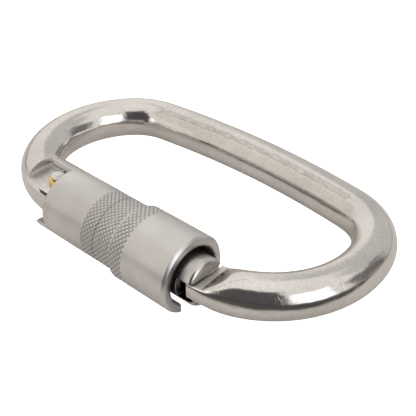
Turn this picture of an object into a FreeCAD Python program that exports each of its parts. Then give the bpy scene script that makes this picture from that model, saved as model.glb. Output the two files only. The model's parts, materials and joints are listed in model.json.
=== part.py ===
"""Oval steel carabiner with a spring-closed gate and a knurled twist sleeve.

Frame: millimetres, +Z up. The origin is near the centre of the loop, on its middle plane.
+X points to the nose, where the gate closes, and +Y points from the gate to the spine.
Parts that ride on the gate are drawn about the gate's own centre line, which is the
local X axis of their bodies, and each body's Placement moves it onto the loop.
"""
import FreeCAD, Part
import math
import os
import re

import Sketcher

DIMS = {
    # bow: one bent round bar
    "rod_diameter": 10.5,
    "nose_reach": 52.75,
    "hinge_reach": 51.75,
    "overall_width": 56.9,
    "nose_corner_radius": 24.9,
    "nose_spine_radius": 17.5,
    "hinge_corner_radius": 23.5,
    "hinge_spine_radius": 15.8,
    "spine_bow_radius": 220.0,
    # hinge end of the bow
    "hinge_position": -23.2,
    "hinge_step": -33.5,
    "tenon_thickness": 4.8,
    "tenon_inner_side": 4.2,
    "tenon_end": 3.6,
    "tenon_corner_radius": 0.6,
    "scoop_depth": 1.5,
    "scoop_half_width": 3.3,
    "scoop_half_height": 0.95,
    "scoop_middle": 3.75,
    # nose end of the bow
    "nose_step_outer": 29.2,
    "nose_step_inner": 26.6,
    "nose_ramp_start": 27.7,
    "nose_ramp_end": 32.6,
    "tongue_thickness": 4.1,
    "tongue_tip_radius": 46.4,
    "tongue_tip_half_width": 8.0,
    "tongue_tip_clear": 15.0,
    "tongue_lead_outer": 26.8,
    "tongue_lead_inner": 22.9,
    "tongue_lead_depth": 3.1,
    "latch_position": 25.0,
    "latch_clearance": 0.1,
    "latch_mouth_reach": 7.0,
    # cross pin in the gate's fork that hooks the tongue
    "latch_radius": 0.8,
    "latch_pin_top": 3.9,
    "latch_pin_length": 8.7,
    "latch_hole_top": 4.0,
    # gate barrel
    "gate_radius": 5.7,
    "gate_tip": 26.0,
    "gate_tip_rounding": 1.1,
    "tip_bevel_start": 2.8,
    "tip_bevel_depth": 1.1,
    "gate_waist_radius": 5.2,
    "land_radius": 6.93,
    "land_start": -17.0,
    "land_end": -12.5,
    "waist_end": 5.0,
    "hinge_slot_bottom": -17.3,
    "hinge_slot_clearance": 0.1,
    "ear_end": -26.9,
    "ear_half_width": 4.2,
    "ear_half_height": 3.2,
    "ear_flat_end": -19.5,
    "ear_corner_radius": 1.2,
    "fork_bottom": 21.9,
    "fork_half_gap": 2.4,
    # hinge pin and its brass bushes
    "rivet_radius": 1.4,
    "rivet_head_radius": 1.9,
    "rivet_head_thickness": 0.6,
    "rivet_half_length": 6.6,
    "rivet_head_bevel": 0.15,
    "bush_radius": 2.7,
    "bush_top": 5.75,
    "bush_bevel": 0.3,
    # spring-loaded plunger that closes the gate
    "plunger_offset": 1.6,
    "plunger_radius": 1.5,
    "plunger_ball_radius": 1.4,
    "plunger_flange_radius": 1.85,
    "plunger_flange_start": -15.8,
    "plunger_flange_end": -14.5,
    "plunger_tail_radius": 1.0,
    "plunger_tail_end": -9.0,
    "plunger_bore_radius": 1.9,
    "plunger_bore_end": 4.0,
    "gate_wire_radius": 0.2,
    "gate_coil_radius": 1.35,
    "gate_coil_turns": 14.0,
    # twist sleeve
    "sleeve_bore_radius": 7.0,
    "sleeve_radius": 8.5,
    "sleeve_collar_radius": 9.4,
    "sleeve_hinge_end": -20.0,
    "sleeve_nose_end": 21.8,
    "collar_bevel_start": 3.7,
    "collar_start": 4.4,
    "nose_bevel": 0.55,
    "sleeve_slot_half_width": 4.0,
    "sleeve_slot_end": 12.3,
    "sleeve_slot_rounding": 1.0,
    "guard_end": -28.5,
    "guard_upper_angle": 77.0,
    "guard_lower_angle": 200.0,
    "guard_tab_end": -24.2,
    "guard_tab_angle": -100.0,
    "guard_corner_radius": 1.4,
    # twist stop, guide ring and sleeve spring
    "guide_ring_start": 5.5,
    "guide_ring_end": 9.5,
    "guide_pin_position": 7.5,
    "guide_pin_radius": 0.75,
    "guide_pin_root": 3.2,
    "guide_pin_reach": 7.75,
    "guide_pin_tilt": -135.0,
    "guide_pin_root_gap": 0.1,
    "track_radius": 7.9,
    "track_half_width": 0.85,
    "track_sweep": 105.0,
    "sleeve_wire_radius": 0.35,
    "sleeve_coil_radius": 6.15,
    "sleeve_coil_turns": 8.0,
    # gaps between fixed and between running pieces, and the run-out of a cutting outline
    "fixed_gap": 0.02,
    "running_gap": 0.05,
    "cutter_margin": 1.0,
}

OUTSIDE = 16.0                  # reach of a cutting outline from the gate line, clear of the metal
THROUGH = "2 * rod_diameter"    # longer than any piece is thick
SMALLEST_CUT = 1e-3             # cubic millimetres a cut must remove
SAME_PLACE = 0.02               # how close two coordinates are when they mean the same edge
UP = FreeCAD.Vector(0, 0, 1)
GATE_Y = "-(overall_width - rod_diameter) / 2"
HINGE_CORNER_X = "-(hinge_reach - rod_diameter / 2 - hinge_corner_radius)"

doc = FreeCAD.newDocument("carabiner")
sheet = doc.addObject("Spreadsheet::Sheet", "dims")
for row, (alias, value) in enumerate(DIMS.items(), start=1):
    sheet.set("A%d" % row, alias)
    sheet.set("B%d" % row, str(value))
    sheet.setAlias("B%d" % row, alias)
doc.recompute()


# ---------------------------------------------------------------- drawing helpers

def expression(text):
    """Turn dimension names into references to the spreadsheet."""
    return re.sub(r"[a-z_]{5,}", lambda word: "dims." + word.group(0), str(text))


def bind(target, prop, text):
    target.setExpression(prop, expression(text))


def new_body(label, on_gate_line=True):
    """A body named after its piece; gate-side pieces sit on the gate's centre line."""
    body = doc.addObject("PartDesign::Body", label)
    body.Label = label
    if on_gate_line:
        bind(body, "Placement.Base.y", GATE_Y)
    return body


def new_sketch(body, name, role, lift="0"):
    """A sketch on one of the body's own origin planes, lifted along the plane's normal."""
    sketch = body.newObject("Sketcher::SketchObject", name)
    for feature in body.Origin.OriginFeatures:
        if feature.Role == role:
            sketch.AttachmentSupport = (feature, [""])
    sketch.MapMode = "FlatFace"
    if lift != "0":
        bind(sketch, "AttachmentOffset.Base.z", lift)
    return sketch


def pin_tilt():
    """Rotation from straight up to the direction the guide pin points in."""
    return FreeCAD.Rotation(FreeCAD.Vector(1, 0, 0), DIMS["guide_pin_tilt"])


def guide_pin_sketch(body, name, lift="0"):
    """A sketch square to the guide pin, lifted along it from the gate's centre line."""
    sketch = new_sketch(body, name, "XY_Plane")
    sketch.AttachmentOffset = FreeCAD.Placement(FreeCAD.Vector(), pin_tilt())
    bind(sketch, "AttachmentOffset.Base.y", "-(%s) * sin(guide_pin_tilt)" % lift)
    bind(sketch, "AttachmentOffset.Base.z", "(%s) * cos(guide_pin_tilt)" % lift)
    return sketch


def fix(sketch, kind, items, text):
    """Hold a dimension at its drawn value, then bind it to the spreadsheet."""
    if kind == "Radius":
        drawn = sketch.Geometry[items[0]].Radius
    else:
        point = sketch.getPoint(items[2], items[3])
        drawn = point.x if kind == "DistanceX" else point.y
    index = sketch.addConstraint(Sketcher.Constraint(kind, *items, drawn))
    sketch.setExpression("Constraints[%d]" % index, expression(text))


def pin_point(sketch, geometry, end, across, along):
    """Hold one point of a sketch at (across, along) from the sketch origin."""
    fix(sketch, "DistanceX", (-1, 1, geometry, end), across)
    fix(sketch, "DistanceY", (-1, 1, geometry, end), along)


def polygon(sketch, corners):
    """A closed outline through corners given as pairs of expressions, first drawn as a ring."""
    count = len(corners)
    first = sketch.GeometryCount
    ring = []
    for i in range(count + 1):
        angle = 2 * math.pi * i / count
        ring.append(FreeCAD.Vector(OUTSIDE * math.cos(angle), OUTSIDE * math.sin(angle), 0))
    for i in range(count):
        sketch.addGeometry(Part.LineSegment(ring[i], ring[i + 1]), False)
    for i in range(count):
        after = first + (i + 1) % count
        sketch.addConstraint(Sketcher.Constraint("Coincident", first + i, 2, after, 1))
    for i, (across, along) in enumerate(corners):
        pin_point(sketch, first + i, 1, across, along)


def rectangle(sketch, left, right, low, high):
    polygon(sketch, [(left, low), (right, low), (right, high), (left, high)])


def circle(sketch, across, along, radius):
    centre = FreeCAD.Vector(1, 1, 0)
    index = sketch.addGeometry(Part.Circle(centre, UP, 1.0), False)
    pin_point(sketch, index, 3, across, along)
    fix(sketch, "Radius", (index,), radius)


def cut(body, sketch, length, upwards=False, both_ways=False):
    """Pocket a sketch; it must remove metal, or the build stops."""
    doc.recompute()
    before = body.Shape.Volume
    pocket = body.newObject("PartDesign::Pocket", sketch.Name + "_cut")
    pocket.Profile = sketch
    if both_ways:
        pocket.SideType = "Symmetric"
    pocket.Reversed = upwards
    bind(pocket, "Length", length)
    doc.recompute()
    if not body.Shape.Volume < before - SMALLEST_CUT:
        raise RuntimeError("nothing was cut by " + sketch.Name)
    return pocket


def turn(body, sketch, axis="H_Axis"):
    """Revolve a half profile about the sketch's own axis."""
    revolution = body.newObject("PartDesign::Revolution", body.Label + "_turned")
    revolution.Profile = sketch
    revolution.ReferenceAxis = (sketch, [axis])
    revolution.Angle = 360
    doc.recompute()
    return revolution


def round_edges(body, name, radius, wanted):
    """Fillet every edge whose ends and middle satisfy wanted(points)."""
    doc.recompute()
    names = []
    for i, edge in enumerate(body.Shape.Edges, start=1):
        middle = edge.valueAt((edge.FirstParameter + edge.LastParameter) / 2)
        local = body.Placement.inverse()
        points = [local.multVec(v.Point) for v in edge.Vertexes] + [local.multVec(middle)]
        if wanted(points):
            names.append("Edge%d" % i)
    if not names:
        raise RuntimeError("no edge found for " + name)
    base = body.Tip
    fillet = body.newObject("PartDesign::Fillet", name)
    fillet.Base = (base, names)
    bind(fillet, "Radius", radius)
    doc.recompute()
    if "Invalid" in fillet.State:
        raise RuntimeError("the fillet failed: " + name)
    return fillet


def near(value, target):
    return abs(value - target) < SAME_PLACE


# ---------------------------------------------------------------- bow

def corner_arcs(reach, corner, spine_corner):
    """Lay out one end of the loop on the +X side: the corner's centre, the centre of the
    arc that leads it into the spine, and the angles of the two joins."""
    gate_y = -(DIMS["overall_width"] - DIMS["rod_diameter"]) / 2
    spine = DIMS["spine_bow_radius"]
    centre = (reach - DIMS["rod_diameter"] / 2 - corner, gate_y + corner)
    spine_centre = (0.0, -gate_y - spine)

    # the leading arc touches both circles from inside, which fixes its distance to each centre
    across = spine_centre[0] - centre[0]
    along = spine_centre[1] - centre[1]
    apart = math.hypot(across, along)
    near_side = corner - spine_corner
    far_side = spine - spine_corner
    foot = (near_side ** 2 - far_side ** 2 + apart ** 2) / (2 * apart)
    height = math.sqrt(near_side ** 2 - foot ** 2)
    middle = (centre[0] + (foot * across - height * along) / apart,
              centre[1] + (foot * along + height * across) / apart)
    join = math.atan2(middle[1] - centre[1], middle[0] - centre[0])
    spine_join = math.atan2(middle[1] - spine_centre[1], middle[0] - spine_centre[0])
    return centre, middle, join, spine_join


def bow_path(body):
    """Centre line of the bar: nose corner, spine, hinge corner and the straight at the hinge."""
    gate_y = -(DIMS["overall_width"] - DIMS["rod_diameter"]) / 2
    spine = DIMS["spine_bow_radius"]
    nose_corner = DIMS["nose_corner_radius"]
    nose_lead = DIMS["nose_spine_radius"]
    hinge_corner = DIMS["hinge_corner_radius"]
    hinge_lead = DIMS["hinge_spine_radius"]
    nose, nose_middle, nose_join, nose_top = corner_arcs(DIMS["nose_reach"], nose_corner, nose_lead)
    hinge, hinge_middle, hinge_join, hinge_top = corner_arcs(DIMS["hinge_reach"], hinge_corner,
                                                             hinge_lead)
    sketch = new_sketch(body, "bow_path", "XY_Plane")

    def arc(x, y, radius, start, end):
        ring = Part.Circle(FreeCAD.Vector(x, y, 0), UP, radius)
        return sketch.addGeometry(Part.ArcOfCircle(ring, start, end), False)

    quarter = math.pi / 2
    straight_start = FreeCAD.Vector(-hinge[0], gate_y, 0)
    straight_end = FreeCAD.Vector(DIMS["hinge_position"] + DIMS["tenon_end"], gate_y, 0)
    straight = sketch.addGeometry(Part.LineSegment(straight_start, straight_end), False)
    nose_gate = arc(nose[0], nose[1], nose_corner, -quarter, nose_join)
    nose_spine = arc(nose_middle[0], nose_middle[1], nose_lead, nose_join, nose_top)
    top = arc(0.0, -gate_y - spine, spine, nose_top, math.pi - hinge_top)
    hinge_spine = arc(-hinge_middle[0], hinge_middle[1], hinge_lead,
                      math.pi - hinge_top, math.pi - hinge_join)
    hinge_gate = arc(-hinge[0], hinge[1], hinge_corner, math.pi - hinge_join, 3 * quarter)

    chain = [(nose_gate, nose_spine), (nose_spine, top), (top, hinge_spine), (hinge_spine, hinge_gate)]
    for before, after in chain:
        sketch.addConstraint(Sketcher.Constraint("Tangent", before, 2, after, 1))
    sketch.addConstraint(Sketcher.Constraint("Tangent", hinge_gate, 2, straight, 1))
    sketch.addConstraint(Sketcher.Constraint("Horizontal", straight))
    pin_point(sketch, straight, 2, "hinge_position + tenon_end", GATE_Y)
    nose_x = "nose_reach - rod_diameter / 2 - nose_corner_radius"
    fix(sketch, "DistanceX", (-1, 1, nose_gate, 3), nose_x)
    fix(sketch, "DistanceX", (-1, 1, nose_gate, 1), nose_x)
    fix(sketch, "DistanceY", (-1, 1, nose_gate, 3), GATE_Y + " + nose_corner_radius")
    fix(sketch, "DistanceX", (-1, 1, hinge_gate, 3), HINGE_CORNER_X)
    fix(sketch, "Radius", (nose_gate,), "nose_corner_radius")
    fix(sketch, "Radius", (nose_spine,), "nose_spine_radius")
    fix(sketch, "Radius", (hinge_gate,), "hinge_corner_radius")
    fix(sketch, "Radius", (hinge_spine,), "hinge_spine_radius")
    fix(sketch, "Radius", (top,), "spine_bow_radius")
    fix(sketch, "DistanceX", (-1, 1, top, 3), "0")
    fix(sketch, "DistanceY", (-1, 1, top, 3), "(overall_width - rod_diameter) / 2 - spine_bow_radius")
    return sketch


def mill_flats(body, name, outline, thickness):
    """Mill the bar down to a flat of the given thickness, from above and from below."""
    for side, upwards in (("top", True), ("bottom", False)):
        sign = "" if upwards else "-"
        sketch = new_sketch(body, "%s_%s" % (name, side), "XY_Plane", sign + thickness + " / 2")
        polygon(sketch, outline)
        cut(body, sketch, "rod_diameter", upwards=upwards)


def make_bow():
    body = new_body("bow", on_gate_line=False)
    path = bow_path(body)
    section = new_sketch(body, "bow_section", "YZ_Plane", "hinge_position + tenon_end")
    circle(section, GATE_Y, "0", "rod_diameter / 2")
    doc.recompute()
    pipe = body.newObject("PartDesign::AdditivePipe", "bow_bar")
    pipe.Profile = section
    pipe.Spine = (path, [])
    doc.recompute()

    beyond = "%g" % OUTSIDE
    outer = GATE_Y + " - " + beyond
    inner = GATE_Y + " + " + beyond
    mill_flats(body, "tenon_flat",
               [("hinge_step", outer), ("hinge_position + " + beyond, outer),
                ("hinge_position + " + beyond, inner), ("hinge_step", inner)],
               "tenon_thickness")
    mill_flats(body, "tongue_flat",
               [("0", outer), ("nose_step_outer", outer), ("nose_step_inner", inner), ("0", inner)],
               "tongue_thickness")

    ramp = new_sketch(body, "nose_ramp", "XZ_Plane", "(overall_width - rod_diameter) / 2")
    polygon(ramp, [("nose_ramp_start", "tongue_thickness / 2"),
                   ("nose_ramp_end", "rod_diameter / 2"),
                   ("nose_ramp_end", "rod_diameter / 2 + cutter_margin"),
                   ("nose_ramp_start", "rod_diameter / 2 + cutter_margin")])
    cut(body, ramp, THROUGH, both_ways=True)

    side = new_sketch(body, "tenon_side", "XY_Plane")
    rectangle(side, "hinge_step", "0", GATE_Y + " + tenon_inner_side", inner)
    cut(body, side, "tenon_thickness + cutter_margin", both_ways=True)

    hole = new_sketch(body, "hinge_hole", "XY_Plane")
    circle(hole, "hinge_position", GATE_Y, "rivet_radius + running_gap")
    cut(body, hole, "rod_diameter", both_ways=True)

    tip = new_sketch(body, "tongue_tip", "XY_Plane")
    tongue_tip_outline(tip)
    cut(body, tip, "rod_diameter", both_ways=True)
    lead = new_sketch(body, "tongue_lead", "XY_Plane")
    lead_outer = GATE_Y + " - tongue_tip_half_width"
    lead_inner = GATE_Y + " - tongue_lead_depth"
    polygon(lead, [("tongue_tip_clear", lead_outer), ("tongue_lead_outer", lead_outer),
                   ("tongue_lead_inner", lead_inner), ("tongue_tip_clear", lead_inner)])
    cut(body, lead, "rod_diameter", both_ways=True)

    slot_radius = "(latch_radius + latch_clearance)"
    seat = new_sketch(body, "latch_seat", "XY_Plane")
    circle(seat, "latch_position", GATE_Y, slot_radius)
    cut(body, seat, "rod_diameter", both_ways=True)
    mouth = new_sketch(body, "latch_mouth", "XY_Plane")
    swing = "(latch_mouth_reach ^ 2 / (2 * (latch_position - hinge_position)))"
    mouth_top = GATE_Y + " + latch_mouth_reach"
    polygon(mouth, [("latch_position - " + slot_radius, GATE_Y),
                    ("latch_position + " + slot_radius, GATE_Y),
                    ("latch_position + " + slot_radius, mouth_top),
                    ("latch_position - " + slot_radius + " - " + swing, mouth_top)])
    cut(body, mouth, "rod_diameter", both_ways=True)

    for side_sign, name in ((1, "upper_scoop"), (-1, "lower_scoop")):
        scoop = body.newObject("PartDesign::SubtractiveEllipsoid", name)
        bind(scoop, "Radius1", "scoop_half_height")
        bind(scoop, "Radius2", "scoop_depth")
        bind(scoop, "Radius3", "scoop_half_width")
        bar_middle = ("hinge_corner_radius - sqrt(hinge_corner_radius ^ 2 - "
                      "(hinge_step - (" + HINGE_CORNER_X + ")) ^ 2)")
        bind(scoop, "Placement.Base.x", "hinge_step")
        bind(scoop, "Placement.Base.y", GATE_Y + " + " + bar_middle)
        bind(scoop, "Placement.Base.z", "%d * scoop_middle" % side_sign)
    doc.recompute()

    end_x = DIMS["hinge_position"] + DIMS["tenon_end"]
    gate_y = -(DIMS["overall_width"] - DIMS["rod_diameter"]) / 2
    round_edges(body, "tenon_corners", "tenon_corner_radius",
                lambda pts: all(near(p.x, end_x) for p in pts) and near(pts[0].y, pts[-1].y)
                and pts[0].y > gate_y)
    return body


def tongue_tip_outline(sketch):
    """The tongue ends on an arc about the hinge, so the gate's fork can swing past it."""
    gate_y = -(DIMS["overall_width"] - DIMS["rod_diameter"]) / 2
    radius = DIMS["tongue_tip_radius"]
    half_width = DIMS["tongue_tip_half_width"]
    clear_x = DIMS["tongue_tip_clear"]
    half_angle = math.asin(half_width / radius)
    ring = Part.Circle(FreeCAD.Vector(DIMS["hinge_position"], gate_y, 0), UP, radius)
    arc = sketch.addGeometry(Part.ArcOfCircle(ring, -half_angle, half_angle), False)
    end_x = DIMS["hinge_position"] + radius * math.cos(half_angle)
    corners = [FreeCAD.Vector(end_x, gate_y + half_width, 0),
               FreeCAD.Vector(clear_x, gate_y + half_width, 0),
               FreeCAD.Vector(clear_x, gate_y - half_width, 0),
               FreeCAD.Vector(end_x, gate_y - half_width, 0)]
    lines = []
    for start, end in zip(corners, corners[1:]):
        lines.append(sketch.addGeometry(Part.LineSegment(start, end), False))
    chain = [(arc, 2, lines[0], 1), (lines[0], 2, lines[1], 1),
             (lines[1], 2, lines[2], 1), (lines[2], 2, arc, 1)]
    for link in chain:
        sketch.addConstraint(Sketcher.Constraint("Coincident", *link))
    inner = GATE_Y + " + tongue_tip_half_width"
    outer = GATE_Y + " - tongue_tip_half_width"
    pin_point(sketch, arc, 3, "hinge_position", GATE_Y)
    fix(sketch, "Radius", (arc,), "tongue_tip_radius")
    fix(sketch, "DistanceY", (-1, 1, arc, 2), inner)
    fix(sketch, "DistanceY", (-1, 1, arc, 1), outer)
    pin_point(sketch, lines[1], 1, "tongue_tip_clear", inner)
    pin_point(sketch, lines[1], 2, "tongue_tip_clear", outer)


# ---------------------------------------------------------------- gate

def make_gate_barrel():
    body = new_body("gate_barrel")
    profile = new_sketch(body, "barrel_profile", "XY_Plane")
    polygon(profile, [("ear_end", "0"), ("gate_tip", "0"), ("gate_tip", "gate_radius"),
                      ("waist_end", "gate_radius"), ("waist_end", "gate_waist_radius"),
                      ("land_end", "gate_waist_radius"), ("land_end", "land_radius"),
                      ("land_start", "land_radius"), ("land_start", "gate_radius"),
                      ("ear_end", "gate_radius")])
    turn(body, profile)
    tip_x = DIMS["gate_tip"]
    round_edges(body, "tip_rounding", "gate_tip_rounding",
                lambda pts: all(near(p.x, tip_x) for p in pts)
                and near(math.hypot(pts[-1].y, pts[-1].z), DIMS["gate_radius"]))

    bevel = new_sketch(body, "tip_bevel", "XY_Plane")
    beyond_side = "gate_radius + cutter_margin"
    polygon(bevel, [("gate_tip", "tip_bevel_start"),
                    ("gate_tip + cutter_margin", "tip_bevel_start"),
                    ("gate_tip + cutter_margin", beyond_side),
                    ("gate_tip - tip_bevel_depth", beyond_side)])
    cut(body, bevel, THROUGH, both_ways=True)

    slot = new_sketch(body, "hinge_slot", "XZ_Plane")
    half_slot = "(tenon_thickness / 2 + hinge_slot_clearance)"
    past_ears = "ear_end - cutter_margin"
    rectangle(slot, past_ears, "hinge_slot_bottom", "-" + half_slot, half_slot)
    cut(body, slot, THROUGH, both_ways=True)
    for name, low, high in (("ear_top", "ear_half_height", "gate_radius + cutter_margin"),
                            ("ear_bottom", "-gate_radius - cutter_margin", "-ear_half_height")):
        flat = new_sketch(body, name, "XZ_Plane")
        rectangle(flat, past_ears, "ear_flat_end", low, high)
        cut(body, flat, THROUGH, both_ways=True)
    for name, low, high in (("ear_inner", "ear_half_width", "gate_radius + cutter_margin"),
                            ("ear_outer", "-gate_radius - cutter_margin", "-ear_half_width")):
        flank = new_sketch(body, name, "XY_Plane")
        rectangle(flank, past_ears, "ear_flat_end", low, high)
        cut(body, flank, THROUGH, both_ways=True)
    end_x = DIMS["ear_end"]
    round_edges(body, "ear_corners", "ear_corner_radius",
                lambda pts: all(near(p.x, end_x) for p in pts)
                and all(near(abs(p.y), DIMS["ear_half_width"]) for p in pts))

    fork = new_sketch(body, "nose_fork", "XZ_Plane")
    rectangle(fork, "fork_bottom", "gate_tip + cutter_margin", "-fork_half_gap", "fork_half_gap")
    cut(body, fork, THROUGH, both_ways=True)
    rivet_hole = new_sketch(body, "rivet_hole", "XY_Plane")
    circle(rivet_hole, "hinge_position", "0", "rivet_radius + fixed_gap")
    cut(body, rivet_hole, THROUGH, both_ways=True)
    latch_hole = new_sketch(body, "latch_hole", "XY_Plane", "latch_hole_top")
    circle(latch_hole, "latch_position", "0", "latch_radius")
    cut(body, latch_hole, THROUGH)
    bore = new_sketch(body, "plunger_bore", "YZ_Plane", "hinge_slot_bottom")
    circle(bore, "plunger_offset", "0", "plunger_bore_radius")
    cut(body, bore, "plunger_bore_end - hinge_slot_bottom", upwards=True)
    pin_hole = guide_pin_sketch(body, "guide_pin_hole", "guide_pin_root")
    circle(pin_hole, "guide_pin_position", "0", "guide_pin_radius + fixed_gap")
    cut(body, pin_hole, "gate_radius", upwards=True)
    return body


def make_turned(label, corners, role="XY_Plane", axis="H_Axis"):
    """A lathe-turned piece from its half profile."""
    body = new_body(label)
    profile = new_sketch(body, label + "_profile", role)
    polygon(profile, corners)
    turn(body, profile, axis)
    return body


def make_hinge_rivet():
    under = "rivet_half_length - rivet_head_thickness"
    bevel = "rivet_half_length - rivet_head_bevel"
    face = "rivet_head_radius - rivet_head_bevel"
    upper = [("rivet_radius", under), ("rivet_head_radius", under),
             ("rivet_head_radius", bevel), (face, "rivet_half_length"), ("0", "rivet_half_length")]
    lower = [(across, "-(" + along + ")") for across, along in reversed(upper)]
    body = make_turned("hinge_rivet", upper + lower, "XZ_Plane", "V_Axis")
    bind(body, "Placement.Base.x", "hinge_position")
    return body


def make_bush(label, turned_over):
    base = "ear_half_height + fixed_gap"
    inside = "rivet_radius + fixed_gap"
    body = make_turned(label, [(inside, base), ("bush_radius", base),
                               ("bush_radius", "bush_top - bush_bevel"),
                               ("bush_radius - bush_bevel", "bush_top"), (inside, "bush_top")],
                       "XZ_Plane", "V_Axis")
    bind(body, "Placement.Base.x", "hinge_position")
    if turned_over:
        body.Placement.Rotation = FreeCAD.Rotation(FreeCAD.Vector(1, 0, 0), 180)
    return body


def make_latch_pin():
    body = new_body("latch_pin")
    section = new_sketch(body, "latch_pin_section", "XY_Plane", "latch_pin_top")
    circle(section, "latch_position", "0", "latch_radius - fixed_gap")
    pad = body.newObject("PartDesign::Pad", "latch_pin_bar")
    pad.Profile = section
    pad.Reversed = True
    bind(pad, "Length", "latch_pin_length")
    doc.recompute()
    return body


def make_gate_plunger():
    """Pusher with a ball end that bears on the end of the tenon, off the hinge's centre."""
    tip = "(hinge_position + tenon_end + fixed_gap)"
    body = make_turned("gate_plunger",
                       [(tip, "0"), ("plunger_tail_end", "0"),
                        ("plunger_tail_end", "plunger_tail_radius"),
                        ("plunger_flange_end", "plunger_tail_radius"),
                        ("plunger_flange_end", "plunger_flange_radius"),
                        ("plunger_flange_start", "plunger_flange_radius"),
                        ("plunger_flange_start", "plunger_radius"), (tip, "plunger_radius")])
    tip_x = DIMS["hinge_position"] + DIMS["tenon_end"] + DIMS["fixed_gap"]
    bind(body, "Placement.Base.y", GATE_Y + " + plunger_offset")
    round_edges(body, "plunger_ball", "plunger_ball_radius",
                lambda pts: all(near(p.x, tip_x) for p in pts)
                and near(math.hypot(pts[-1].y, pts[-1].z), DIMS["plunger_radius"]))
    return body


def make_coil(label, start, end, coil_radius, wire_radius, turns, offset="0"):
    body = new_body(label)
    bind(body, "Placement.Base.y", GATE_Y + " + " + offset)
    section = new_sketch(body, label + "_wire", "XY_Plane")
    circle(section, start + " + " + wire_radius, coil_radius, wire_radius)
    doc.recompute()
    helix = body.newObject("PartDesign::AdditiveHelix", label + "_coil")
    helix.Profile = section
    helix.ReferenceAxis = (section, ["H_Axis"])
    helix.Mode = "height-turns-angle"
    bind(helix, "Height", "(%s) - (%s) - 2 * %s" % (end, start, wire_radius))
    bind(helix, "Turns", turns)
    doc.recompute()
    return body


# ---------------------------------------------------------------- twist sleeve

def make_locking_sleeve():
    body = new_body("locking_sleeve")
    profile = new_sketch(body, "sleeve_profile", "XY_Plane")
    polygon(profile, [("guard_end", "sleeve_bore_radius"), ("sleeve_nose_end", "sleeve_bore_radius"),
                      ("sleeve_nose_end", "sleeve_collar_radius - nose_bevel"),
                      ("sleeve_nose_end - nose_bevel", "sleeve_collar_radius"),
                      ("collar_start", "sleeve_collar_radius"), ("collar_bevel_start", "sleeve_radius"),
                      ("guard_end", "sleeve_radius")])
    turn(body, profile)

    far = "%g" % OUTSIDE
    window = new_sketch(body, "hinge_window", "YZ_Plane", "sleeve_hinge_end")
    polygon(window, [("0", "0"),
                     (far + " * cos(guard_upper_angle)", far + " * sin(guard_upper_angle)"),
                     ("-" + far, far),
                     (far + " * cos(guard_lower_angle)", far + " * sin(guard_lower_angle)")])
    cut(body, window, "sleeve_hinge_end - guard_end + cutter_margin")
    tab = new_sketch(body, "guard_tab", "YZ_Plane", "guard_tab_end")
    polygon(tab, [("0", "0"),
                  ("-" + far, "0"), ("-" + far, "-" + far),
                  (far + " * cos(guard_tab_angle)", far + " * sin(guard_tab_angle)")])
    cut(body, tab, "guard_tab_end - guard_end + cutter_margin")

    slot = new_sketch(body, "nose_slot", "XY_Plane")
    rectangle(slot, "sleeve_slot_end", "sleeve_nose_end + cutter_margin",
              "-sleeve_slot_half_width", "sleeve_slot_half_width")
    cut(body, slot, THROUGH)

    track = new_sketch(body, "guide_track", "XY_Plane")
    rectangle(track, "guide_pin_position - track_half_width",
              "guide_pin_position + track_half_width",
              "sleeve_bore_radius - cutter_margin", "track_radius")
    doc.recompute()
    before = body.Shape.Volume
    groove = body.newObject("PartDesign::Groove", "guide_track_cut")
    groove.Profile = track
    groove.ReferenceAxis = (track, ["H_Axis"])
    groove.Midplane = True
    bind(groove, "Angle", "track_sweep")
    doc.recompute()
    if not body.Shape.Volume < before - SMALLEST_CUT:
        raise RuntimeError("the guide track was not cut")

    guard_x = DIMS["guard_end"]
    tab_x = DIMS["guard_tab_end"]
    upper = math.radians(DIMS["guard_upper_angle"])
    lower = math.radians(DIMS["guard_lower_angle"])

    def at_guard_corner(points):
        """Short radial edges where the guard's end meets its upper or lower side."""
        for x, angle in ((guard_x, upper), (tab_x, lower)):
            inward = FreeCAD.Vector(0, math.cos(angle), math.sin(angle))
            if all(near(p.x, x) and near(p.cross(inward).x, 0.0) and p.dot(inward) > 0
                   for p in points):
                return True
        return False

    slot_x = DIMS["sleeve_slot_end"]
    slot_y = DIMS["sleeve_slot_half_width"]
    round_edges(body, "guard_corners", "guard_corner_radius", at_guard_corner)
    round_edges(body, "slot_corners", "sleeve_slot_rounding",
                lambda pts: all(near(p.x, slot_x) and near(abs(p.y), slot_y) for p in pts))
    return body


def make_guide_pin():
    """Short pin pressed into the barrel, running in the sleeve's quarter-turn track."""
    body = new_body("guide_pin")
    root = "guide_pin_root + guide_pin_root_gap"
    section = new_sketch(body, "guide_pin_section", "XY_Plane", root)
    circle(section, "guide_pin_position", "0", "guide_pin_radius")
    pad = body.newObject("PartDesign::Pad", "guide_pin_bar")
    pad.Profile = section
    bind(pad, "Length", "guide_pin_reach - (" + root + ")")
    body.Placement.Rotation = pin_tilt()
    doc.recompute()
    return body


def make_guide_ring():
    body = make_turned("guide_ring",
                       [("guide_ring_start", "gate_radius + fixed_gap"),
                        ("guide_ring_end", "gate_radius + fixed_gap"),
                        ("guide_ring_end", "land_radius"), ("guide_ring_start", "land_radius")])
    hole = guide_pin_sketch(body, "guide_ring_hole")
    circle(hole, "guide_pin_position", "0", "guide_pin_radius + fixed_gap")
    cut(body, hole, "sleeve_bore_radius", upwards=True)
    return body


pieces = [
    make_bow(),
    make_gate_barrel(),
    make_hinge_rivet(),
    make_bush("upper_hinge_bush", turned_over=False),
    make_bush("lower_hinge_bush", turned_over=True),
    make_latch_pin(),
    make_gate_plunger(),
    make_coil("gate_spring", "plunger_flange_end + fixed_gap", "plunger_bore_end - fixed_gap",
              "gate_coil_radius", "gate_wire_radius", "gate_coil_turns", "plunger_offset"),
    make_locking_sleeve(),
    make_guide_ring(),
    make_guide_pin(),
    make_coil("sleeve_spring", "land_end + fixed_gap", "guide_ring_start - fixed_gap",
              "sleeve_coil_radius", "sleeve_wire_radius", "sleeve_coil_turns"),
]

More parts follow.
